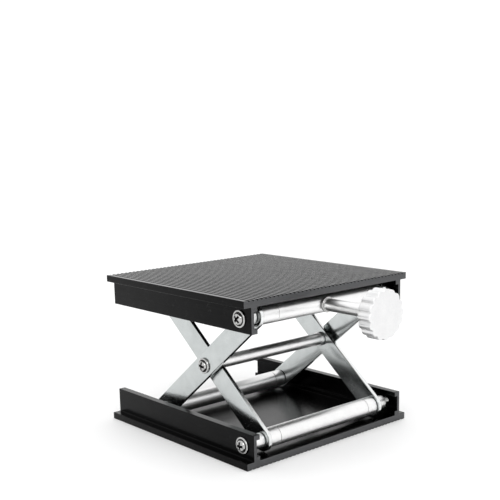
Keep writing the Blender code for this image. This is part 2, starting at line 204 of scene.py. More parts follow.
def thread_depth(distance: np.ndarray, angle: np.ndarray, pitch: float, start: float,
                 end: float) -> np.ndarray:
    """Depth of a vee thread, as a share of its full depth.

    The phase is distance / pitch - angle / turn. Over one pitch a triangle wave rises and falls,
    cut off at its crest and its root. It fades out over one pitch at both ends.

    Args:
        distance: distance along the axis.
        angle: angle about the axis.
        pitch: the thread's pitch.
        start: where the thread begins.
        end: where it stops.

    Returns:
        0 at a crest to 1 at a root, in the arguments' common shape.
    """
    phase = distance / pitch - angle / TURN
    wave = np.abs(2 * (phase - np.floor(phase)) - 1)
    vee = np.clip((wave - THREAD_CREST) / THREAD_FLANKS, 0.0, 1.0)
    fade_in = np.clip((distance - start) / pitch, 0.0, 1.0)
    fade_out = np.clip((end - distance) / pitch, 0.0, 1.0)
    return vee * (fade_in * fade_out)


def holed_square(half: float, radius: float, columns: int = 32) -> Surface:
    """Flat square in the first two coordinates with a round hole in its middle.

    The circle's points are shared out between the four sides, and each side with its share of the
    circle is one face.
    """
    corner = np.array([(-1, -1), (1, -1), (1, 1), (-1, 1)], float) * half
    angle = (np.arange(columns) / columns - 0.375) * TURN
    circle = radius * joined(np.cos(angle), np.sin(angle))
    share = columns // 4
    side = np.arange(4)[:, None]
    arc = 4 + (side * share + np.arange(share, -1, -1)[None]) % columns
    faces = np.hstack((side, (side + 1) % 4, arc))
    flat = np.vstack((corner, circle))
    return Surface(np.column_stack((flat, np.zeros(len(flat)))), [faces])


def to_mesh(name: str, surface: Surface, sharp_degrees: float) -> bpy.types.Mesh:
    """Mesh of a surface, welded at its seams and poles, with its faces outwards.

    Args:
        name: the mesh's name.
        surface: what to put in it.
        sharp_degrees: an edge between faces that differ by more than this stays crisp.

    Returns:
        The new mesh.
    """
    totals = np.concatenate([np.full(len(block), block.shape[1]) for block in surface.blocks])
    corners = np.concatenate([block.ravel() for block in surface.blocks])
    starts = np.concatenate(([0], np.cumsum(totals)[:-1]))
    mesh = bpy.data.meshes.new(name)
    mesh.vertices.add(len(surface.points))
    mesh.vertices.foreach_set("co", surface.points.astype(np.float32).ravel())
    mesh.loops.add(len(corners))
    mesh.loops.foreach_set("vertex_index", corners.astype(np.int32))
    mesh.polygons.add(len(totals))
    mesh.polygons.foreach_set("loop_start", starts.astype(np.int32))
    mesh.update(calc_edges=True)
    if surface.hollow is not None:
        layer = mesh.attributes.new(HOLLOW, "FLOAT", "POINT")
        layer.data.foreach_set("value", surface.hollow.astype(np.float32).ravel())
    shape = bmesh.new()
    shape.from_mesh(mesh)
    bmesh.ops.remove_doubles(shape, verts=shape.verts, dist=WELD_DISTANCE)
    bmesh.ops.recalc_face_normals(shape, faces=shape.faces)
    shape.to_mesh(mesh)
    shape.free()
    mesh.shade_smooth()
    mesh.set_sharp_from_angle(angle=math.radians(sharp_degrees))
    return mesh


def added(name: str, data: bpy.types.ID) -> bpy.types.Object:
    """A new object in the scene."""
    made = bpy.data.objects.new(name, data)
    bpy.context.scene.collection.objects.link(made)
    return made


def middle(node: str) -> Vector:
    """Middle of a CAD node's box."""
    low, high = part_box(node)
    return (low + high) / 2


# --- nodes --------------------------------------------------------------------------------


class NodeSheet:
    """A node tree that nodes are added to by kind, with their settings and inputs."""

    def __init__(self, tree: bpy.types.NodeTree) -> None:
        """Work on the given tree."""
        self.tree = tree

    def add(self, kind: str, inputs: Mapping[str | int, object] | None = None,
            **settings: object) -> bpy.types.Node:
        """Adds one node.

        Args:
            kind: the node's type name.
            inputs: a value, or another node's output to link, for each named input.
            **settings: the node's own properties.

        Returns:
            The new node.
        """
        node = self.tree.nodes.new(kind)
        for label, value in settings.items():
            setattr(node, label, value)
        for label, value in (inputs or {}).items():
            if isinstance(value, Socket):
                self.tree.links.new(value, node.inputs[label])
            else:
                node.inputs[label].default_value = value
        return node

    def math(self, operation: str, first: object, second: object = 0.0) -> Socket:
        """Result of a Math node on two values or outputs."""
        return self.add("ShaderNodeMath", {0: first, 1: second}, operation=operation).outputs[0]

    def more(self, base: object, mask: object, share: float) -> Socket:
        """A value plus a share of a mask."""
        return self.math("ADD", base, self.math("MULTIPLY", mask, share))

    def spread(self, value: object, low: float, high: float, to_low: float = 0.0,
               to_high: float = 1.0) -> Socket:
        """A value taken from one range to another and kept inside it."""
        names = {"Value": value, "From Min": low, "From Max": high, "To Min": to_low,
                 "To Max": to_high}
        return self.add("ShaderNodeMapRange", names).outputs["Result"]

    def part(self, place: object, axis: str) -> Socket:
        """One coordinate of a place."""
        return self.add("ShaderNodeSeparateXYZ", {0: place}).outputs[axis]

    def noise(self, place: object, scale: object, detail: float = 2.0) -> Socket:
        """Noise value at a place."""
        names = {"Vector": place, "Scale": scale, "Detail": detail}
        return self.add("ShaderNodeTexNoise", names).outputs[0]

    def vector(self, operation: str, first: object, second: object,
               output: str = "Vector") -> Socket:
        """Result of a Vector Math node on two places, outputs or constants."""
        return self.add("ShaderNodeVectorMath", {0: first, 1: second},
                        operation=operation).outputs[output]

    def tint(self, share: object, first: object, second: object) -> Socket:
        """Colour between two colours."""
        return self.add("ShaderNodeMix", {0: share, 6: first, 7: second},
                        data_type="RGBA").outputs[2]

    def over(self, below: object, mask: object, share: float, above: object) -> Socket:
        """A colour with another one over it, where a share of a mask says so."""
        return self.tint(self.math("MULTIPLY", mask, share), below, above)


GroupWiring = Callable[[NodeSheet, Mapping[str, Socket]], Socket]


def effect_group(name: str) -> bpy.types.NodeTree:
    """The node group of a named effect, with one output value, made on its first use."""
    found = bpy.data.node_groups.get(name)
    if found is not None:
        return found
    wiring, inputs = EFFECTS[name]
    tree = bpy.data.node_groups.new(name, "ShaderNodeTree")
    for label, value in inputs.items():
        kind = "NodeSocketVector" if value is None else "NodeSocketFloat"
        socket = tree.interface.new_socket(label, in_out="INPUT", socket_type=kind)
        if value is not None:
            socket.default_value = value
    tree.interface.new_socket("Value", in_out="OUTPUT", socket_type="NodeSocketFloat")
    sheet = NodeSheet(tree)
    result = wiring(sheet, sheet.add("NodeGroupInput").outputs)
    sheet.add("NodeGroupOutput", {"Value": result})
    return tree


def edge_wear_and_highlight(sheet: NodeSheet, given: Mapping[str, Socket]) -> Socket:
    """Mask of worn edges, also used for painted edge highlights: where a rounded normal leaves the
    true one, broken up by noise.
    """
    rounded = sheet.add("ShaderNodeBevel", {"Radius": given["Width"]}, samples=6).outputs[0]
    true_normal = sheet.add("ShaderNodeNewGeometry").outputs["Normal"]
    agree = sheet.vector("DOT_PRODUCT", rounded, true_normal, "Value")
    broken = sheet.noise(given["Place"], given["Breakup"], 3.0)
    return sheet.math("MULTIPLY", sheet.spread(agree, 0.99, 0.80),
                      sheet.spread(broken, 0.30, 0.65, 0.25, 1.0))


def long_grain(sheet: NodeSheet, given: Mapping[str, Socket]) -> Socket:
    """Fine lines along Y: noise that changes fast across and slowly along."""
    scale = sheet.add("ShaderNodeCombineXYZ", {
        "X": given["Across"], "Y": given["Along"], "Z": given["Across"]}).outputs[0]
    lines = sheet.noise(sheet.vector("MULTIPLY", given["Place"], scale), 1.0, 4.0)
    return sheet.spread(lines, 0.25, 0.75)


def mottle(sheet: NodeSheet, given: Mapping[str, Socket]) -> Socket:
    """Cloudy tone of a plated or anodised surface: coarse and fine noise together."""
    fine = sheet.noise(given["Place"], 1400.0, 3.0)
    coarse = sheet.noise(given["Place"], given["Scale"], 4.0)
    return sheet.spread(sheet.more(sheet.math("MULTIPLY", fine, 0.35), coarse, 0.65), 0.32, 0.68)


def scratches(sheet: NodeSheet, given: Mapping[str, Socket]) -> Socket:
    """Mask of sparse hair scratches: narrow contour lines of two stretched noises."""
    layers = []
    for angles in ((0.5, 0.3, 0.9), (1.1, -0.6, -0.5)):
        leaning = sheet.add("ShaderNodeVectorRotate", {
            "Vector": given["Place"], "Rotation": angles}, rotation_type="EULER_XYZ").outputs[0]
        drawn = sheet.vector("MULTIPLY", leaning, (1.0, 0.06, 1.0))
        waves = sheet.noise(drawn, given["Scale"], 1.0)
        off_line = sheet.math("ABSOLUTE", sheet.math("SUBTRACT", waves, 0.5))
        layers.append(sheet.spread(off_line, 0.006, 0.0))
    gate = sheet.spread(sheet.noise(given["Place"], 220.0, 1.0), 0.50, 0.60)
    lines = sheet.math("MULTIPLY", sheet.math("MAXIMUM", *layers), gate)
    return sheet.math("MULTIPLY", lines, given["Amount"])


def lathe_rings(sheet: NodeSheet, given: Mapping[str, Socket]) -> Socket:
    """Turning marks: noise along one distance only, coarse and fine together."""
    where = sheet.math("MULTIPLY", given["Distance"], given["Frequency"])
    rings = sheet.add("ShaderNodeTexNoise", {"W": where, "Scale": 1.0, "Detail": 5.0},
                      noise_dimensions="1D").outputs[0]
    return sheet.spread(rings, 0.3, 0.7)


EFFECTS: dict[str, tuple[GroupWiring, dict[str, float | None]]] = {
    "EdgeWearAndHighlight": (edge_wear_and_highlight, {"Place": None, "Width": 0.3 * MM, "Breakup": 900.0}),
    "LongGrain": (long_grain, {"Place": None, "Across": 3000.0, "Along": 40.0}),
    "Mottle": (mottle, {"Place": None, "Scale": 250.0}),
    "Scratches": (scratches, {"Place": None, "Scale": 500.0, "Amount": 0.5}),
    "LatheRings": (lathe_rings, {"Distance": 0.0, "Frequency": 4000.0}),
}


# --- finishes -----------------------------------------------------------------------------


class Slot(Enum):
    """Material slots of the record."""

    BLACK = "black_anodised"
    ZINC = "zinc_plated"
    STEEL = "bright_steel"
    ALLOY = "silver_alloy"
    NICKEL = "nickel_screw"


def grey(tone: float, green: float = 1.0, blue: float = 1.0) -> Colour:
    """A grey, with its green and blue as multiples of its red."""
    return (tone, tone * green, tone * blue, 1.0)


class Coat(NodeSheet):
    """A material's tree, with the effects at the object's own coordinates."""

    def __init__(self, tree: bpy.types.NodeTree) -> None:
        """Work on a material's empty tree."""
        super().__init__(tree)
        self.place = self.add("ShaderNodeTexCoord").outputs["Object"]

    def effect(self, name: str, **inputs: object) -> Socket:
        """The output of one use of a named effect, at the object's place unless told otherwise."""
        group = effect_group(name)
        if "Place" in EFFECTS[name][1]:
            inputs.setdefault("Place", self.place)
        return self.add("ShaderNodeGroup", inputs, node_tree=group).outputs[0]

    def apart(self, axis: str) -> Socket:
        """Distance from the middle of the jack along an axis."""
        return self.math("ABSOLUTE", self.part(self.place, axis))


@dataclass(frozen=True)
class Look:
    """What a finish makes of its nodes: the shader's inputs and the bump's relief in metres."""

    colour: Socket
    roughness: Socket
    height: Socket
    relief: float


@dataclass(frozen=True)
class Finish:
    """A metal finish that a piece can wear. Each kind wires its own nodes."""

    name: str
    slot: Slot

    def material(self) -> bpy.types.Material:
        """The finish as a material, built on its first use."""
        found = bpy.data.materials.get(self.name)
        if found is not None:
            return found
        made = bpy.data.materials.new(self.name)
        made.use_nodes = True
        made.node_tree.nodes.clear()
        coat = Coat(made.node_tree)
        look = self.wire(coat)
        bump = coat.add("ShaderNodeBump", {
            "Strength": 1.0, "Distance": look.relief, "Height": look.height})
        shader = coat.add("ShaderNodeBsdfPrincipled", {
            "Base Color": look.colour, "Metallic": 1.0, "Roughness": look.roughness,
            "Normal": bump.outputs[0]})
        coat.add("ShaderNodeOutputMaterial", {"Surface": shader.outputs[0]})
        return made

    def wire(self, coat: Coat) -> Look:
        """Adds the finish's own nodes."""
        raise NotImplementedError


@dataclass(frozen=True)
class BlackAnodise(Finish):
    """Satin black anodised extrusion: die lines along Y, paler sawn ends, and edges painted
    lighter as worn metal and as a painted edge highlight.
    """

    body_tone: float = 0.0035
    streak_tone: float = 0.0075
    worn_and_highlight_tone: float = 0.16
    sawn_tone: float = 0.095
    half_length: float = 45.0 * MM
    relief: float = 0.0025 * MM

    def wire(self, coat: Coat) -> Look:
        """Adds the finish's own nodes."""
        grain = coat.effect("LongGrain", Across=2600.0, Along=12.0)
        cloud = coat.effect("Mottle", Scale=160.0)
        worn_and_highlight = coat.effect("EdgeWearAndHighlight", Width=0.22 * MM, Breakup=1500.0)
        hair = coat.effect("Scratches", Scale=420.0, Amount=0.5)
        sawn = coat.spread(coat.apart("Y"), self.half_length - 0.05 * MM,
                           self.half_length - 0.02 * MM)
        streaks = coat.tint(grain, self.bluish(self.body_tone), self.bluish(self.streak_tone))
        clouded = coat.over(streaks, cloud, 0.35, self.bluish(self.streak_tone * 1.3))
        saw_marks = coat.noise(coat.vector("MULTIPLY", coat.place, (500.0, 1.0, 9000.0)), 1.0, 3.0)
        sawn_colour = coat.tint(saw_marks, self.bluish(self.sawn_tone * 0.75),
                                self.bluish(self.sawn_tone * 1.25))
        ended = coat.tint(sawn, clouded, sawn_colour)
        # painted highlight: the edge mask lays a light tone on the edges, standing for worn metal
        # as well
        rubbed_and_highlit = coat.over(ended, worn_and_highlight, 0.55, self.bluish(self.worn_and_highlight_tone))
        satin = coat.more(coat.spread(grain, 0.0, 1.0, 0.15, 0.22), cloud, 0.06)
        return Look(colour=coat.over(rubbed_and_highlit, hair, 0.25, self.bluish(self.worn_and_highlight_tone)),
                    roughness=coat.more(satin, sawn, 0.16),
                    height=coat.math("ADD", grain, coat.math("MULTIPLY", saw_marks, sawn)),
                    relief=self.relief)

    @staticmethod
    def bluish(tone: float) -> Colour:
        """A neutral grey with a trace of blue."""
        return grey(tone, 1.01, 1.04)


@dataclass(frozen=True)
class ZincPlate(Finish):
    """Bright zinc plated strip: rolled grain along the arm, cloudy tone, hair scratches and a
    painted highlight on its edge face.
    """

    slope: float = 0.0
    middle_x: float = 0.0
    half_thickness: float = 0.62 * MM
    light: Colour = (0.545, 0.568, 0.566, 1.0)
    dull: Colour = (0.475, 0.498, 0.496, 1.0)
    edge_face_highlight: Colour = (0.80, 0.81, 0.81, 1.0)
    scratch: Colour = (0.93, 0.95, 0.94, 1.0)
    relief: float = 0.002 * MM

    def wire(self, coat: Coat) -> Look:
        """Adds the finish's own nodes."""
        along_arm = coat.add("ShaderNodeMapping", {
            "Vector": coat.place, "Rotation": (-self.slope, 0.0, 0.0)}).outputs[0]
        grain = coat.effect("LongGrain", Place=along_arm, Across=2200.0, Along=45.0)
        cloud = coat.effect("Mottle", Scale=230.0)
        hair = coat.effect("Scratches", Place=along_arm, Scale=700.0, Amount=1.0)
        off_middle = coat.math("ABSOLUTE", coat.math("SUBTRACT", coat.apart("X"), self.middle_x))
        # painted highlight: the strip's edge face, between the two flats, gets a lighter colour
        cut = coat.spread(off_middle, self.half_thickness + 0.05 * MM, self.half_thickness)
        toned = coat.tint(cut, coat.tint(cloud, self.dull, self.light), self.edge_face_highlight)
        lined = coat.more(coat.spread(cloud, 0.0, 1.0, 0.20, 0.14), grain, 0.03)
        return Look(colour=coat.over(toned, hair, 0.30, self.scratch),
                    roughness=coat.more(lined, hair, 0.12),
                    height=coat.more(cloud, grain, 0.5), relief=self.relief)


@dataclass(frozen=True)
class LatheTurned(Finish):
    """Metal turned on a lathe: fine rings that follow a distance, over a cloudy tone."""

    light: Colour = (0.93, 0.93, 0.925, 1.0)
    dull: Colour = grey(0.84)
    bare_and_highlight: Colour = (0.97, 0.97, 0.965, 1.0)
    gloss: tuple[float, float] = (0.30, 0.37)
    relief: float = 0.0012 * MM
    frequency: float = 5200.0
    cloud_scale: float = 190.0
    hair: tuple[float, float] = (600.0, 0.8)
    # edge mask settings: width, breakup and share of the wear and painted edge highlight
    wear: tuple[float, float, float] = (0.12 * MM, 1800.0, 0.3)
    cloud_roughness: float = 0.05
    worn_roughness: float = 0.0

    def distance(self, coat: Coat) -> Socket:
        """The distance that the rings follow."""
        raise NotImplementedError

    def wire(self, coat: Coat) -> Look:
        """Adds the finish's own nodes."""
        rings = coat.effect("LatheRings", Distance=self.distance(coat),
                            Frequency=self.frequency)
        cloud = coat.effect("Mottle", Scale=self.cloud_scale)
        hair = coat.effect("Scratches", Scale=self.hair[0], Amount=self.hair[1])
        width, breakup, share = self.wear
        worn_and_highlight = coat.effect("EdgeWearAndHighlight", Width=width, Breakup=breakup)
        toned = coat.tint(cloud, self.dull, self.light)
        ringed = coat.spread(rings, 0.0, 1.0, *self.gloss)
        patchy = coat.more(coat.more(ringed, cloud, self.cloud_roughness), worn_and_highlight,
                           self.worn_roughness)
        # edges painted toward the lighter colour over the edge mask: wear and painted edge
        # highlight
        return Look(colour=coat.over(toned, worn_and_highlight, share, self.bare_and_highlight),
                    roughness=coat.more(patchy, hair, 0.10), height=rings, relief=self.relief)


@dataclass(frozen=True)
class TurnedBar(LatheTurned):
    """Bright steel bar, whose rings follow one axis."""

    along: str = "X"

    def distance(self, coat: Coat) -> Socket:
        """Distance along the bar's axis."""
        return coat.part(coat.place, self.along)


@dataclass(frozen=True)
class FacedKnob(LatheTurned):
    """Satin silver knob, whose rings follow the distance from its axis."""

    axis_height: float = 0.0

    def distance(self, coat: Coat) -> Socket:
        """Distance from the knob's axis."""
        centred = coat.add("ShaderNodeMapping", {
            "Vector": coat.place, "Location": (0.0, 0.0, -self.axis_height)}).outputs[0]
        flat = coat.vector("MULTIPLY", centred, (1.0, 0.0, 1.0))
        return coat.add("ShaderNodeVectorMath", {0: flat}, operation="LENGTH").outputs["Value"]


@dataclass(frozen=True)
class Nickel(Finish):
    """Nickel plated screws, washers and rollers: painted shade where the mesh says that it is
    hollow, and edges painted lighter as wear and as a painted highlight.
    """

    light: Colour = (0.53, 0.53, 0.525, 1.0)
    dull: Colour = (0.40, 0.40, 0.395, 1.0)
    bare_and_highlight: Colour = (0.85, 0.845, 0.83, 1.0)
    # painted shade colour for the cross recess and the flange groove
    recess_shade: Colour = grey(0.012)
    relief: float = 0.0015 * MM

    def wire(self, coat: Coat) -> Look:
        """Adds the finish's own nodes."""
        cloud = coat.effect("Mottle", Scale=420.0)
        hair = coat.effect("Scratches", Scale=900.0, Amount=0.8)
        worn_and_highlight = coat.effect("EdgeWearAndHighlight", Width=0.15 * MM, Breakup=2200.0)
        toned = coat.tint(cloud, self.dull, self.light)
        # painted highlight: edges painted toward the bright colour over the edge mask, also as
        # wear
        rubbed_and_highlit = coat.over(toned, worn_and_highlight, 0.35, self.bare_and_highlight)
        hollow = coat.add("ShaderNodeAttribute", attribute_name=HOLLOW).outputs["Fac"]
        # painted shade: a near-black colour over the hollow mask, in the recess and the groove
        return Look(colour=coat.tint(hollow, rubbed_and_highlit, self.recess_shade),
                    roughness=coat.more(coat.spread(cloud, 0.0, 1.0, 0.20, 0.13), hair, 0.15),
                    height=cloud, relief=self.relief)


@dataclass(frozen=True)
class Wardrobe:
    """The finishes that the jack wears."""

    plate: Finish
    inner_arm: Finish
    outer_arm: Finish
    bar: Finish
    lead: Finish
    knob: Finish
    fixing: Finish

    @classmethod
    def fitted(cls) -> "Wardrobe":
        """The wardrobe with the arms' slope and the knob's height taken from the CAD nodes."""
        start, end = middle("bottom_axle"), middle("nut_bar")
        slope = math.atan2(end.z - start.z, end.y - start.y)
        return cls(
            plate=BlackAnodise("SatinBlackAnodise", Slot.BLACK),
            inner_arm=ZincPlate("ZincPlateRising", Slot.ZINC, slope=slope,
                                middle_x=middle("inner_arm_right").x),
            outer_arm=ZincPlate("ZincPlateFalling", Slot.ZINC, slope=-slope,
                                middle_x=middle("outer_arm_right").x),
            bar=TurnedBar("BrightTurnedSteel", Slot.STEEL),
            lead=TurnedBar("BrightLeadSteel", Slot.STEEL, along="Y"),
            knob=FacedKnob(
                "SatinSilverAlloy", Slot.ALLOY, axis_height=middle("knob").z, light=grey(0.82),
                dull=(0.75, 0.75, 0.755, 1.0), bare_and_highlight=grey(0.98), gloss=(0.30, 0.40),
                relief=0.003 * MM, frequency=4200.0, cloud_scale=260.0, hair=(520.0, 0.7),
                wear=(0.25 * MM, 1600.0, 0.4), cloud_roughness=0.0, worn_roughness=-0.12),
            fixing=Nickel("NickelPlate", Slot.NICKEL))


# --- pieces -------------------------------------------------------------------------------


@dataclass
class Assembly:
    """Pieces that ride on one CAD body and stand for its nodes."""

    body: str
    wardrobe: Wardrobe
    made: list[bpy.types.Object] = field(default_factory=list)

    def fit(self, node: str, surface: Surface, finish: Finish,
            sharp_degrees: float = 38.0) -> None:
        """Makes a piece of a surface in place of a CAD node.

        Args:
            node: the CAD node that the piece stands for.
            surface: the piece's shell, where it belongs at rest.
            finish: what it wears.
            sharp_degrees: an edge sharper than this stays crisp.
        """
        piece = added(node + "_finished", to_mesh(node, surface, sharp_degrees))
        piece.data.materials.append(finish.material())
        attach(piece, self.body)
        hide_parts(node)
        self.made.append(piece)
        LOG.info("%-26s %-16s %6d faces", piece.name, self.body, len(piece.data.polygons))

    def ring(self, node: str, bore: float, radius: float, finish: Finish, grow: float = 0.0,
             ease: float = 0.12 * MM, axis: Axis = Axis.X) -> None:
        """A sleeve, washer or roller: a box profile with eased corners turned about its axis.

        Args:
            node: the CAD node that gives its place and length.
            bore: radius of its hole.
            radius: its outer radius.
            finish: what it wears.
            grow: how far each end goes past the CAD solid's, to close the running gap.
            ease: rounding of its edges.
            axis: the axis that it lies on.
        """
        low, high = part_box(node)
        along = 0 if axis is Axis.X else 1
        half = (high[along] - low[along]) / 2 + grow
        corners = [(-half, bore), (-half, radius), (half, radius), (half, bore)]
        self.fit(node, turned(eased(corners, ease, closed=True), axis, middle(node), closed=True),
                 finish)

    def sleeve_and_spacer(self, bar: str, label: str, spacer_grow: float = 0.0) -> None:
        """The end sleeve and the spacer on one side of a cross bar."""
        steel = self.wardrobe.bar
        self.ring(f"{bar}_sleeve_{label}", AXLE_BORE, BAR_RADIUS, steel, SEAM)
        self.ring(f"{bar}_spacer_{label}", AXLE_BORE, SPACER_RADIUS, steel, spacer_grow)

    def side_screw(self, node: str, side: float, turn: float) -> None:
        """A pan screw where a CAD screw is: same seat, head and reach."""
        low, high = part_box(node)
        outer, inner = (high.x, low.x) if side > 0 else (low.x, high.x)
        seat = outer - side * PanScrew.height
        screw = PanScrew((high.z - low.z) / 2, side * (seat - inner))
        spot = middle(node)
        self.fit(node, screw.surface((seat, spot.y, spot.z), side, turn), self.wardrobe.fixing,
                 sharp_degrees=44.0)


@dataclass(frozen=True)
class RibbedPlate:
    """An aluminium extrusion: ribbed outer face, two side walls with an inward channel.

    Its own frame has the ribbed face down at z = 0 and the walls up.
    """

    size: float = 90.0 * MM
    thickness: float = 2.8 * MM
    wall_height: float = 12.9 * MM
    wall_outer: float = 41.5 * MM
    wall_inner: float = 38.5 * MM
    channel_floor: float = 40.1 * MM
    channel_low: float = 4.6 * MM
    channel_high: float = 10.95 * MM
    rib_pitch: float = 2.07 * MM
    rib_crest: float = 1.1 * MM
    rib_depth: float = 0.45 * MM
    groove_floor: float = 0.16 * MM
    ribs_each_side: int = 21
    crest_ease: float = 0.14 * MM
    groove_ease: float = 0.06 * MM
    hole_radius: float = 1.7 * MM
    patch_half: float = 2.4 * MM
    end_break: float = 0.16 * MM

    def ribs(self) -> tuple[np.ndarray, np.ndarray]:
        """Corners of the ribbed face and their easing: one groove after each rib."""
        start = np.arange(-self.ribs_each_side, self.ribs_each_side)[:, None] * self.rib_pitch
        steps = np.array([self.rib_crest / 2, (self.rib_pitch - self.groove_floor) / 2,
                          (self.rib_pitch + self.groove_floor) / 2,
                          self.rib_pitch - self.rib_crest / 2])
        heights = np.array([0.0, self.rib_depth, self.rib_depth, 0.0])
        points = joined(start + steps, heights).reshape(-1, 2)
        eases = [self.crest_ease, self.groove_ease, self.groove_ease, self.crest_ease]
        easing = np.tile(eases, len(start))
        return points, easing

    def outline(self, pivot_height: float, inset: float) -> np.ndarray:
        """The eased cross-section (x, z), with stops on the walls for the screw holes' patches.

        Each corner first moves inwards by inset * (n0 + n1) / (1 + n0 . n1), where n0 and n1 are
        the inward normals of its two edges, so that every edge moves by the inset.

        Args:
            pivot_height: height of the screw holes above the ribbed face.
            inset: how far the whole section is drawn in.

        Returns:
            Array (n, 2), with the same n for every inset.
        """
        edge = self.size / 2
        stops = (pivot_height - self.patch_half, pivot_height + self.patch_half)
        fine, soft, round_edge = 0.12 * MM, 0.16 * MM, 0.20 * MM
        right = np.array([
            (edge, 0.0, round_edge), (edge, self.thickness, round_edge),
            (self.wall_outer, self.thickness, soft), (self.wall_outer, stops[0], 0.0),
            (self.wall_outer, stops[1], 0.0), (self.wall_outer, self.wall_height, soft),
            (self.wall_inner, self.wall_height, soft), (self.wall_inner, self.channel_high, fine),
            (self.channel_floor, self.channel_high, fine), (self.channel_floor, stops[1], 0.0),
            (self.channel_floor, stops[0], 0.0), (self.channel_floor, self.channel_low, fine),
            (self.wall_inner, self.channel_low, fine), (self.wall_inner, self.thickness, soft)])
        mirrored = right[::-1] * (-1.0, 1.0, 1.0)
        ribs, easing = self.ribs()
        corners = np.vstack((ribs, right[:, :2], mirrored[:, :2]))
        edges = np.roll(corners, -1, axis=0) - corners
        edges /= np.linalg.norm(edges, axis=1)[:, None]
        normal = np.column_stack((-edges[:, 1], edges[:, 0]))
        before = np.roll(normal, 1, axis=0)
        mitre = (before + normal) / (1 + np.sum(before * normal, axis=1))[:, None]
        return eased(corners + inset * mitre,
                     np.concatenate((easing, right[:, 2], mirrored[:, 2])), closed=True)

    def surface(self, pivot_y: float, pivot_height: float) -> Surface:
        """The extrusion with its two screw holes.

        The outline is carried along Y. At both ends it draws in by the end break along a quarter
        circle, so that the sawn face has a rounded rim. Where a screw hole goes through a wall,
        one cell is left open and a square with a round hole takes its place on both faces of the
        wall, joined by the hole's wall.

        Args:
            pivot_y: where the screw holes are along Y.
            pivot_height: how far they are from the ribbed face.

        Returns:
            The plate in its own frame.
        """
        bend = np.linspace(0.0, math.pi / 2, 4)
        half, rim = self.size / 2, self.end_break
        along = half - rim + rim * np.sin(bend)
        drawn = rim * (1 - np.cos(bend))
        inside = np.array([half / 2, half - 3 * rim])
        near, far = pivot_y - self.patch_half, pivot_y + self.patch_half
        stations = np.concatenate((-along, -inside, (near, far), inside, along))
        inset = np.concatenate((drawn, np.zeros(6), drawn))
        order = np.argsort(stations)
        stations, inset = stations[order], inset[order]
        flat = np.stack([self.outline(pivot_height, amount) for amount in inset])
        points = joined(flat[..., 0], stations[:, None], flat[..., 1])
        skip = np.zeros(points.shape[:2], bool)
        row = int(np.argmin(np.abs(stations - near)))
        outline = flat[row]
        shell = Surface(np.zeros((0, 3)), [])
        for _, side in SIDES:
            for x in (self.wall_outer, self.channel_floor):
                ends = [int(np.argmin(np.linalg.norm(outline - (side * x, pivot_height + z),
                                                     axis=1)))
                        for z in (-self.patch_half, self.patch_half)]
                skip[row, min(ends)] = True
                shell += holed_square(self.patch_half, self.hole_radius).placed(
                    (side * x, pivot_y, pivot_height), ((0, 1, 0), (0, 0, 1), (1, 0, 0)))
            bore = np.array([(self.channel_floor, self.hole_radius),
                             (self.wall_outer, self.hole_radius)])
            shell += turned(bore * (side, 1.0), Axis.X, (0.0, pivot_y, pivot_height), columns=32)
        count = len(outline)
        body = lattice(points, wrap_columns=True, skip=skip)
        body.blocks.append(np.arange(count) + np.array([[0], [(len(stations) - 1) * count]]))
        return body + shell


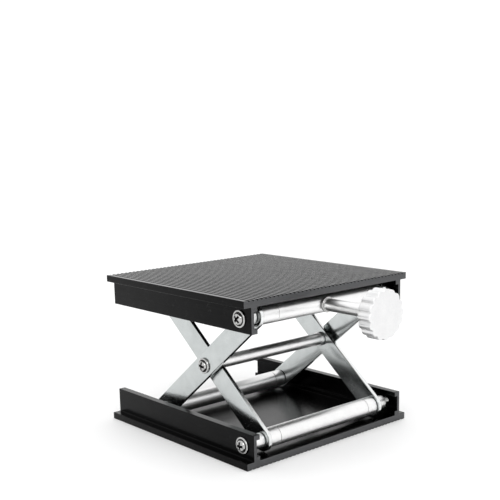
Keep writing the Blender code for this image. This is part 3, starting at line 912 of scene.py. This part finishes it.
@dataclass(frozen=True)
class Arm:
    """A flat strip with round ends, an axle hole at each end and a screw hole in the middle."""

    length: float = 77.0 * MM
    width: float = 9.3 * MM
    thickness: float = 1.76 * MM
    end_hole: float = 2.35 * MM
    middle_hole: float = 1.6 * MM
    edge: float = 0.28 * MM
    hole_chamfer: float = 0.12 * MM
    patch: float = 3.4 * MM
    arc_steps: int = 24

    def rim(self, inset: float, centre_spots: np.ndarray) -> np.ndarray:
        """Outline of the strip, drawn in by the inset: two half circles and two straight sides."""
        radius = self.width / 2 - inset
        sweep = np.linspace(math.pi / 2, 3 * math.pi / 2, self.arc_steps + 1)
        half = radius * joined(np.cos(sweep), np.sin(sweep))
        low = np.column_stack((centre_spots, np.full(len(centre_spots), -radius)))
        high = np.column_stack((centre_spots[::-1], np.full(len(centre_spots), radius)))
        return np.vstack((half, low, (self.length, 0.0) - half, high))

    def surface(self) -> Surface:
        """The arm along its first coordinate from 0, across the second, thick in the third.

        The outline is carried round a thickness profile with quarter round edges. Each flat is
        eight faces: two half rings about each of the three holes and the two strips between them.
        """
        mid = self.length / 2
        spots = np.array([self.patch, mid - self.patch, mid, mid + self.patch,
                          self.length - self.patch])
        bend = np.linspace(0.0, math.pi / 2, 5)
        rise = self.thickness / 2 - self.edge + self.edge * np.sin(bend)
        inset = self.edge * (1 - np.cos(bend))
        support = np.array([self.thickness / 2 - 1.5 * self.edge])
        heights = np.concatenate((-rise[::-1], -support, support, rise))
        insets = np.concatenate((inset[::-1], (0.0, 0.0), inset))
        rims = np.stack([self.rim(amount, spots) for amount in insets])
        loops = joined(rims[..., 0], rims[..., 1], heights[:, None])
        shell = lattice(loops, wrap_columns=True)
        for height in (-self.thickness / 2, self.thickness / 2):
            shell += self.flat(self.rim(self.edge, spots), spots, height)
        top, chamfer = self.thickness / 2, self.hole_chamfer
        upright = ((0.0, 0.0, 1.0), (1.0, 0.0, 0.0), (0.0, 1.0, 0.0))
        for at, radius in self.holes():
            wall = np.array([(-top, radius + chamfer), (-top + chamfer, radius),
                             (top - chamfer, radius), (top, radius + chamfer)])
            bore = turned(wall, Axis.X, (0.0, 0.0, 0.0), columns=2 * self.arc_steps)
            shell += bore.placed((at, 0.0, 0.0), upright)
        return shell

    def holes(self) -> tuple[tuple[float, float], ...]:
        """Each hole's place along the arm with its radius."""
        return ((0.0, self.end_hole), (self.length / 2, self.middle_hole),
                (self.length, self.end_hole))

    def flat(self, rim: np.ndarray, spots: np.ndarray, height: float) -> Surface:
        """One flat of the arm, inside its rim, with the three holes left open."""
        steps = self.arc_steps
        arc = np.arange(steps + 1)
        low = steps + 1 + np.arange(5)
        far_arc = steps + 6 + arc
        high = (2 * steps + 7 + np.arange(5))[::-1]
        angle = np.arange(2 * steps) * TURN / (2 * steps)
        circle = joined(np.cos(angle), np.sin(angle))
        circles = np.vstack([(at, 0.0) + (radius + self.hole_chamfer) * circle
                             for at, radius in self.holes()])
        quarter = steps // 2
        left = np.arange(3 * quarter, quarter - 1, -1)
        right = np.arange(quarter, -quarter - 1, -1) % (2 * steps)
        first = len(rim)
        near, centre, far = (first + i * 2 * steps for i in range(3))
        faces = [
            np.concatenate((arc, near + left)),
            np.concatenate(((arc[-1], low[0], high[0], arc[0]), near + right)),
            np.array((low[0], low[1], high[1], high[0])),
            np.concatenate(((high[2], high[1], low[1], low[2]), centre + left)),
            np.concatenate(((low[2], low[3], high[3], high[2]), centre + right)),
            np.array((low[3], low[4], high[4], high[3])),
            np.concatenate(((far_arc[-1], high[4], low[4], far_arc[0]), far + left)),
            np.concatenate((far_arc, far + right)),
        ]
        points = np.vstack((rim, circles))
        return Surface(np.column_stack((points, np.full(len(points), height))),
                       [face[None] for face in faces])


@dataclass(frozen=True)
class CrossBar:
    """A round cross bar: thick in the middle, thinner at both ends, drilled if asked."""

    thick_radius: float
    thick_end: float
    end: float
    thin_radius: float = 2.2 * MM
    screw_bore: float = 0.0
    bore_radius: float = 1.7 * MM
    cross_hole: float = 0.0
    lip: float = 0.2 * MM
    bore_point: float = 0.8 * MM
    patch_half: float = 3.3 * MM
    patch_columns: int = 15

    def half_profile(self) -> np.ndarray:
        """(x, radius) from the thick part's edge to the pole that closes the end."""
        corners = [(self.patch_half, self.thick_radius), (self.thick_end, self.thick_radius),
                   (self.thick_end, self.thin_radius), (self.end, self.thin_radius)]
        easing = [0.0, self.lip, 0.0, self.lip]
        if not self.screw_bore:
            return eased(corners + [(self.end, 0.0)], easing + [0.0])
        deep = self.end - self.screw_bore
        corners += [(self.end, self.bore_radius), (deep, self.bore_radius),
                    (deep - self.bore_point, 0.0)]
        return eased(corners, easing + [self.lip / 2, 0.0, 0.0])

    def surface(self, centre: Sequence[float]) -> Surface:
        """The whole bar about its centre."""
        right = self.half_profile()
        left = right[::-1] * (-1.0, 1.0)
        if not self.cross_hole:
            return turned(np.vstack((left, right)), Axis.X, centre)
        ends = turned(left, Axis.X, centre) + turned(right, Axis.X, centre)
        return ends + self.drilled_band().placed(centre, Axis.X.value)

    def drilled_band(self) -> Surface:
        """The bar's middle with a hole through it along Y.

        The band is a grid of x and angle with a window left open on both sides. In each window,
        rings run from the window's border to the hole's circle, in the plane of x and z, and each
        point is then set back onto the cylinder, at y = sqrt(radius^2 - z^2).
        """
        radius, k = self.thick_radius, self.patch_columns
        divisions = 2 * k
        x = np.linspace(-self.patch_half, self.patch_half, divisions + 1)
        angle = np.arange(ROUND_COLUMNS) * TURN / ROUND_COLUMNS
        grid = around(x[:, None], radius, angle)
        column = (np.arange(ROUND_COLUMNS) + k) % (ROUND_COLUMNS // 2)
        skip = np.broadcast_to(column < divisions, (divisions + 1, ROUND_COLUMNS))
        shell = lattice(grid, wrap_columns=True, skip=skip)
        z = radius * np.sin(np.arange(-k, k + 1) * TURN / ROUND_COLUMNS)
        low = np.column_stack((x[:-1], np.full(divisions, z[0])))
        right = np.column_stack((np.full(divisions, x[-1]), z[:-1]))
        high = np.column_stack((x[:0:-1], np.full(divisions, z[-1])))
        left = np.column_stack((np.full(divisions, x[0]), z[:0:-1]))
        border = np.vstack((low, right, high, left))
        sweep = (0.625 + np.arange(len(border)) / len(border)) * TURN
        circle = self.cross_hole * joined(np.cos(sweep), np.sin(sweep))
        share = np.linspace(0.0, 1.0, 7)[:, None, None]
        rings = (1 - share) * border + share * circle
        depth = np.sqrt(radius ** 2 - rings[..., 1] ** 2)
        for side in (-1.0, 1.0):
            shell += lattice(joined(rings[..., 0], side * depth, rings[..., 1]),
                             wrap_columns=True)
        walls = joined(circle[:, 0], np.outer((-1.0, 1.0), depth[-1]), circle[:, 1])
        return shell + lattice(walls, wrap_columns=True)


@dataclass(frozen=True)
class PanScrew:
    """A flanged pan-head screw with a cross recess and a threaded shank, its head along +X."""

    radius: float
    shank_length: float
    height: float = 1.7 * MM
    shank_radius: float = 1.48 * MM
    pitch: float = 0.5 * MM
    thread: float = 0.27 * MM
    slot_half_width: float = 0.42 * MM
    slot_half_length: float = 1.62 * MM
    slot_depth: float = 1.15 * MM
    slot_rim: float = 0.14 * MM
    thread_ends: tuple[float, float] = (0.3 * MM, -0.2 * MM)
    point_length: float = 0.8 * MM
    groove_middle: float = 0.735
    groove_half_width: float = 0.055
    columns: int = ROUND_COLUMNS

    def head_profile(self) -> np.ndarray:
        """(radius, height) from the rim's foot, over the flange and its groove, to the top."""
        r, h = self.radius, self.height
        corners = [(r, 0.0), (r, 0.22 * h), (0.97 * r, 0.31 * h), (0.80 * r, 0.36 * h),
                   (0.765 * r, 0.10 * h), (0.705 * r, 0.10 * h), (0.68 * r, 0.50 * h),
                   (0.60 * r, 0.76 * h), (0.42 * r, 0.93 * h), (0.2 * r, 0.99 * h), (0.0, h)]
        ease = np.array([0.0, .1, .12, .14, .06, .06, .14, .2, .3, .3, 0.0]) * MM
        curve = eased(corners, ease)
        way = np.concatenate(([0.0], np.cumsum(np.linalg.norm(np.diff(curve, axis=0), axis=1))))
        even = np.union1d(way, np.linspace(0.0, way[-1], 64))
        return np.column_stack([np.interp(even, way, curve[:, i]) for i in (0, 1)])

    def recess(self, y: np.ndarray, z: np.ndarray) -> np.ndarray:
        """Depth of the cross recess.

        A point is in the cross if it is within the slot's half width of one arm and its half
        length of the other. The depth falls from the middle to an arm's tip, with steep sides.
        """
        a, b = np.abs(y), np.abs(z)
        outside = np.minimum(
            np.maximum(a - self.slot_half_width, b - self.slot_half_length),
            np.maximum(b - self.slot_half_width, a - self.slot_half_length))
        wall = np.clip(0.5 - outside / self.slot_rim, 0.0, 1.0)
        taper = 1 - 0.55 * np.clip(np.hypot(y, z) / self.slot_half_length, 0.0, 1.0)
        return self.slot_depth * wall * wall * (3 - 2 * wall) * taper

    def surface(self, seat: Sequence[float], side: float, turn: float) -> Surface:
        """The screw on its seat.

        Args:
            seat: where its axis meets the face that its head sits on.
            side: -1 or 1, the direction along X that its head points in.
            turn: how far the cross is turned about the screw's axis.

        Returns:
            The screw's closed surface.
        """
        angle = np.arange(self.columns) * TURN / self.columns
        head = self.head_profile()
        radius, height = head[:, 0, None], head[:, 1, None]
        sunk = self.recess(radius * np.cos(angle + turn), radius * np.sin(angle + turn))
        top = around(height - sunk, radius, angle)
        deep = np.arange(-self.shank_length, 0.0, self.pitch / 7)[:, None]
        run_in, run_out = self.thread_ends
        groove = self.thread * thread_depth(deep, angle[None], self.pitch,
                                            -self.shank_length + run_in, run_out)
        point = np.clip((deep + self.shank_length) / self.point_length, 0.0, 1.0)
        girth = (self.shank_radius - groove) * (0.7 + 0.3 * point)
        shank = around(deep, girth, angle)
        foot = around(0.0, self.shank_radius, angle)[None]
        tip = np.broadcast_to((-self.shank_length, 0.0, 0.0), foot.shape)
        rows = np.concatenate((tip, shank, foot, top))
        shell = lattice(rows, wrap_columns=True)
        # hollow mask of the cross recess and the flange groove, where the finish paints shade
        off_groove = np.abs(radius / self.radius - self.groove_middle)
        groove_ring = np.clip(1 - off_groove / self.groove_half_width, 0.0, 1.0)
        hidden = np.zeros(rows.shape[:2])
        hidden[-len(head):] = np.maximum(np.clip(sunk / (0.45 * self.slot_depth), 0.0, 1.0),
                                         np.clip(1.6 * groove_ring, 0.0, 1.0))
        shell.hollow = hidden.ravel()
        return shell.placed(seat, ((side, 0.0, 0.0), (0.0, 1.0, 0.0), (0.0, 0.0, 1.0)))


# --- sub-assemblies -----------------------------------------------------------------------


@dataclass
class Base(Assembly):
    """The base plate with the front bottom axle, its tube, sleeves, spacers and screws."""

    plate: RibbedPlate = RibbedPlate()
    axle: CrossBar = CrossBar(2.2 * MM, 20.0 * MM, 37.0 * MM, screw_bore=9.4 * MM)

    def build(self) -> None:
        """Makes the base's nine pieces."""
        spot = middle("bottom_axle")
        self.fit("base_plate", self.plate.surface(spot.y, spot.z), self.wardrobe.plate)
        self.fit("bottom_axle", self.axle.surface(spot), self.wardrobe.bar)
        self.ring("bottom_tube", AXLE_BORE, BAR_RADIUS, self.wardrobe.bar, SEAM)
        for label, side in SIDES:
            self.sleeve_and_spacer("bottom", label)
            self.side_screw("bottom_screw_" + label, side, turn=0.35 + 0.3 * side)


@dataclass
class ArmPair(Assembly):
    """Two arms on one body, from one pivot to the other."""

    arm: Arm = Arm()

    def strips(self, kind: str, start_node: str, end_node: str, finish: Finish) -> None:
        """Makes the left and right arm between the middles of two CAD bars."""
        start, end = middle(start_node), middle(end_node)
        along = Vector((0.0, end.y - start.y, end.z - start.z)).normalized()
        axes = (along, Vector((0.0, -along.z, along.y)), (1.0, 0.0, 0.0))
        for label, _ in SIDES:
            node = f"{kind}_arm_{label}"
            origin = (middle(node).x, start.y, start.z)
            self.fit(node, self.arm.surface().placed(origin, axes), finish)


@dataclass
class InnerArms(ArmPair):
    """The inner arms with the rod between their middles, its collars and its screws."""

    rod_radius: float = 2.6 * MM
    rod_shoulder: float = 15.0 * MM
    collar_radius: float = 3.1 * MM
    screw_bore: float = 9.0 * MM

    def build(self) -> None:
        """Makes the pair and what it carries."""
        self.strips("inner", "bottom_axle", "nut_bar", self.wardrobe.inner_arm)
        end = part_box("centre_rod")[1].x + 0.2 * MM
        rod = CrossBar(self.rod_radius, self.rod_shoulder, end, thin_radius=self.rod_radius,
                       screw_bore=self.screw_bore)
        self.fit("centre_rod", rod.surface(middle("centre_rod")), self.wardrobe.bar)
        for label, side in SIDES:
            self.ring("centre_collar_" + label, self.rod_radius + 0.02 * MM, self.collar_radius,
                      self.wardrobe.bar, grow=0.1 * MM)
            self.side_screw("centre_screw_" + label, side, turn=0.9 + side)


@dataclass
class OuterArms(ArmPair):
    """The outer arms with the washers between the two pairs."""

    washer_bore: float = 1.6 * MM
    washer_radius: float = 3.7 * MM

    def build(self) -> None:
        """Makes the pair and its washers."""
        self.strips("outer", "top_bar", "slider_bar", self.wardrobe.outer_arm)
        for label, _ in SIDES:
            self.ring("centre_washer_" + label, self.washer_bore, self.washer_radius,
                      self.wardrobe.fixing, grow=0.1 * MM, ease=0.06 * MM)


@dataclass
class Slider(Assembly):
    """A rear cross bar with its sleeves and spacers, and a roller for each channel."""

    prefix: str = "slider"
    cross_hole: float = 0.0
    roller_radius: float = 2.85 * MM

    def build(self) -> None:
        """Makes the slider's seven pieces."""
        node = self.prefix + "_bar"
        bar = shouldered_bar(node, self.prefix + "_sleeve_right", cross_hole=self.cross_hole)
        self.fit(node, bar, self.wardrobe.bar)
        for label, _ in SIDES:
            self.sleeve_and_spacer(self.prefix, label, spacer_grow=0.1 * MM)
            self.ring(f"{self.prefix}_roller_{label}", AXLE_BORE, self.roller_radius,
                      self.wardrobe.fixing, ease=0.35 * MM)


def shouldered_bar(node: str, sleeve: str, **holes: float) -> Surface:
    """A cross bar as long as its CAD node, thick up to the CAD sleeve less the running gap."""
    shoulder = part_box(sleeve)[0].x - RUNNING_GAP + SEAM
    return CrossBar(BAR_RADIUS, shoulder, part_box(node)[1].x, **holes).surface(middle(node))


@dataclass
class Platform(Assembly):
    """The top plate with the front top bar, its sleeves, spacers and screws."""

    plate: RibbedPlate = RibbedPlate()
    screw_bore: float = 9.4 * MM
    cross_hole: float = 2.6 * MM

    def build(self) -> None:
        """Makes the platform's eight pieces."""
        spot, top = middle("top_bar"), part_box("top_plate")[1].z
        upside_down = ((-1.0, 0.0, 0.0), (0.0, 1.0, 0.0), (0.0, 0.0, -1.0))
        plate = self.plate.surface(spot.y, top - spot.z).placed((0.0, 0.0, top), upside_down)
        self.fit("top_plate", plate, self.wardrobe.plate)
        bar = shouldered_bar("top_bar", "top_sleeve_right", screw_bore=self.screw_bore,
                             cross_hole=self.cross_hole)
        self.fit("top_bar", bar, self.wardrobe.bar)
        for label, side in SIDES:
            self.sleeve_and_spacer("top", label)
            self.side_screw("top_screw_" + label, side, turn=0.6 - 0.2 * side)


@dataclass
class LeadScrew(Assembly):
    """The lead screw with its two clips and the fluted knob."""

    radius: float = 2.5 * MM
    groove_radius: float = 2.05 * MM
    clip_radius: float = 3.15 * MM
    pitch: float = 0.8 * MM
    thread: float = 0.45 * MM
    thread_gap: float = 2.0 * MM
    clip_play: float = 0.05 * MM
    shaft_ease: float = 0.08 * MM
    blunt_end: float = 0.5 * MM
    shaft_columns: int = 40
    rows_per_pitch: int = 9
    knob_radius: float = 9.6 * MM
    flutes: int = 16
    flute_depth: float = 0.75 * MM
    knob_edge: float = 0.5 * MM
    knob_bore: float = 2.56 * MM
    knob_bore_depth: float = 4.6 * MM
    columns_per_flute: int = 14
    flute_fade: int = 8

    def build(self) -> None:
        """Makes the screw, the clips and the knob."""
        self.fit("lead_screw", self.screw(), self.wardrobe.lead, sharp_degrees=50.0)
        for label in ("front", "rear"):
            self.ring("screw_clip_" + label, self.groove_radius + 0.03 * MM, self.clip_radius,
                      self.wardrobe.fixing, ease=0.14 * MM, axis=Axis.Y)
        self.fit("knob", self.knob(), self.wardrobe.knob)

    def screw(self) -> Surface:
        """A smooth shaft in front of the bar and a thread behind it.

        The front is a turned profile with a groove for each clip. Behind the rear clip the radius
        is the shaft's less the thread's depth times the share that thread_depth gives.
        """
        axis = middle("knob")
        front, back = (box.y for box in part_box("lead_screw"))
        shaft = [(front, 0.0), (front, self.radius)]
        for clip in ("screw_clip_front", "screw_clip_rear"):
            low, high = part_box(clip)
            near, far = low.y - self.clip_play, high.y + self.clip_play
            shaft += [(near, self.radius), (near, self.groove_radius), (far, self.groove_radius),
                      (far, self.radius)]
        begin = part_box("screw_clip_rear")[1].y + self.thread_gap
        shaft.append((begin, self.radius))
        profile = eased(shaft, self.shaft_ease)
        columns = self.shaft_columns
        angle = np.arange(columns)[None] * TURN / columns
        smooth = np.broadcast_to(profile[:, 1, None], (len(profile), columns))
        along = np.arange(begin, back, self.pitch / self.rows_per_pitch)[1:, None]
        share = thread_depth(along, angle, self.pitch, begin, back + self.pitch)
        blunt = np.clip((back - along) / self.blunt_end, 0.0, 1.0)
        ridged = (self.radius - self.thread * share) * (0.8 + 0.2 * blunt)
        distance = np.concatenate((profile[:, 0], along[:, 0], (back, back)))[:, None]
        end = np.full((1, columns), self.radius * 0.8)
        girth = np.vstack((smooth, ridged, end, 0.0 * end))
        points = joined(girth * np.sin(angle), distance, girth * np.cos(angle))
        return lattice(points, wrap_columns=True).placed((axis.x, 0.0, axis.z), np.eye(3))

    def knob(self) -> Surface:
        """A fluted disc.

        Round the rim the radius is R - depth * w^2, where w = (1 - cos(16 a)) / 2. Towards the
        middle of the two faces the flutes die away with the eighth power of the radius.
        """
        low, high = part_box("knob")
        front, back, centre = low.y, high.y, middle("knob")
        full, edge = self.knob_radius, self.knob_edge
        corners = [(front, 0.0), (front, 0.45 * full), (front, 0.8 * full), (front, full),
                   (back, full), (back, 0.8 * full), (back, self.knob_bore),
                   (back - self.knob_bore_depth, self.knob_bore),
                   (back - self.knob_bore_depth, 0.0)]
        ease = np.array([0.0, 0.0, 0.0, 1.0, 1.0, 0.0, 0.4, 0.0, 0.0]) * edge
        profile = eased(corners, ease)
        count = self.flutes * self.columns_per_flute
        angle = np.arange(count)[None] * TURN / count
        wave = 0.5 - 0.5 * np.cos(self.flutes * angle)
        radius = profile[:, 1, None]
        fluted = radius - self.flute_depth * wave ** 2 * (radius / full) ** self.flute_fade
        points = joined(fluted * np.sin(angle), profile[:, 0, None], fluted * np.cos(angle))
        return lattice(points, wrap_columns=True).placed((centre.x, 0.0, centre.z), np.eye(3))


# --- studio -------------------------------------------------------------------------------


@dataclass(frozen=True)
class Softbox:
    """A rectangular area light."""

    name: str
    spot: tuple[float, float, float]
    size: tuple[float, float]
    power: float
    target: tuple[float, float, float] = (0.0, 0.0, 0.03)

    def hang(self) -> None:
        """Puts the light in the scene."""
        light = bpy.data.lights.new(self.name, "AREA")
        light.shape, light.energy = "RECTANGLE", self.power
        light.size, light.size_y = self.size
        lamp = added(self.name, light)
        lamp.location = self.spot
        aim = Vector(self.target) - Vector(self.spot)
        lamp.rotation_euler = aim.to_track_quat("-Z", "Y").to_euler()


@dataclass(frozen=True)
class Studio:
    """Pale floor, soft light all round and the camera. Rise is the camera's upward shift."""

    eye: tuple[float, float, float] = (-253.80 * MM, -289.02 * MM, 124.80 * MM)
    look_at: tuple[float, float, float] = (-2.944 * MM, 0.006 * MM, 50.856 * MM)
    roll: float = -0.0216
    lens: float = 66.08
    sensor: float = 36.0
    rise: float = 0.11
    clip: tuple[float, float] = (0.01, 100.0)
    floor_half: float = 30.0
    floor_drop: float = 0.02 * MM
    floor_tone: float = 0.95
    floor_shade: float = 0.015
    horizon_strength: float = 1.10
    overhead_strength: float = 1.12
    boxes: tuple[Softbox, ...] = (
        Softbox("key_softbox", (-0.55, -0.75, 0.75), size=(0.6, 0.45), power=2.4),
        Softbox("top_softbox", (0.1, 0.2, 1.1), size=(0.9, 0.9), power=1.2),
    )

    def build(self) -> None:
        """Sets up the whole studio."""
        self.lay_floor()
        self.light_world()
        for box in self.boxes:
            box.hang()
        self.place_camera()
        bpy.context.scene.view_settings.view_transform = "Standard"
        LOG.info("studio ready")

    def lay_floor(self) -> None:
        """A wide, faintly mottled floor just under the base plate's ribs."""
        half = self.floor_half
        corner = np.array([(-half, -half, 0.0), (half, -half, 0.0), (half, half, 0.0),
                           (-half, half, 0.0)]) - (0.0, 0.0, self.floor_drop)
        mesh = bpy.data.meshes.new("floor")
        mesh.from_pydata(corner.tolist(), [], [(0, 1, 2, 3)])
        floor = added("floor", mesh)
        paint = bpy.data.materials.new("PaleFloor")
        paint.use_nodes = True
        sheet = NodeSheet(paint.node_tree)
        shader = paint.node_tree.nodes["Principled BSDF"]
        shader.inputs["Roughness"].default_value = 0.6
        shader.inputs["Specular IOR Level"].default_value = 0.2
        place = sheet.add("ShaderNodeTexCoord").outputs["Object"]
        colour = sheet.tint(sheet.noise(place, 30.0), grey(self.floor_tone),
                            grey(self.floor_tone - self.floor_shade))
        sheet.tree.links.new(colour, shader.inputs["Base Color"])
        mesh.materials.append(paint)

    def light_world(self) -> None:
        """A white room whose tone changes a little from the horizon to overhead."""
        world = bpy.data.worlds.new("white_room")
        world.use_nodes = True
        bpy.context.scene.world = world
        sheet = NodeSheet(world.node_tree)
        way = sheet.add("ShaderNodeTexCoord").outputs["Generated"]
        strength = sheet.spread(sheet.part(way, "Z"), 0.15, 0.6, self.horizon_strength,
                                self.overhead_strength)
        back = world.node_tree.nodes["Background"]
        back.inputs["Color"].default_value = grey(1.0)
        sheet.tree.links.new(strength, back.inputs["Strength"])

    def place_camera(self) -> None:
        """The camera, level but for a slight roll."""
        eye = Vector(self.eye)
        ahead = (Vector(self.look_at) - eye).normalized()
        right = ahead.cross(Vector((0.0, 0.0, 1.0))).normalized()
        up = right.cross(ahead)
        c, s = math.cos(self.roll), math.sin(self.roll)
        right, up = c * right + s * up, c * up - s * right
        data = bpy.data.cameras.new("camera")
        data.lens, data.sensor_width = self.lens, self.sensor
        data.shift_y = self.rise
        data.clip_start, data.clip_end = self.clip
        camera = added("camera", data)
        turn = Matrix((right, up, -ahead)).transposed().to_4x4()
        camera.matrix_world = Matrix.Translation(eye) @ turn
        bpy.context.scene.camera = camera


def main() -> None:
    """Builds the studio and the jack's sub-assemblies in order."""
    logging.basicConfig(level=logging.INFO, format="%(message)s")
    wardrobe = Wardrobe.fitted()
    Studio().build()
    groups = (
        Base("base", wardrobe),
        InnerArms("inner_arms", wardrobe),
        OuterArms("outer_arms", wardrobe),
        Slider("rear_slider", wardrobe),
        Slider("nut_block", wardrobe, prefix="nut", cross_hole=2.58 * MM),
        Platform("platform", wardrobe),
        LeadScrew("lead_screw_group", wardrobe),
    )
    for group in groups:
        group.build()
        LOG.info("%s: %d pieces", group.body, len(group.made))


if __name__ == "__main__":
    main()
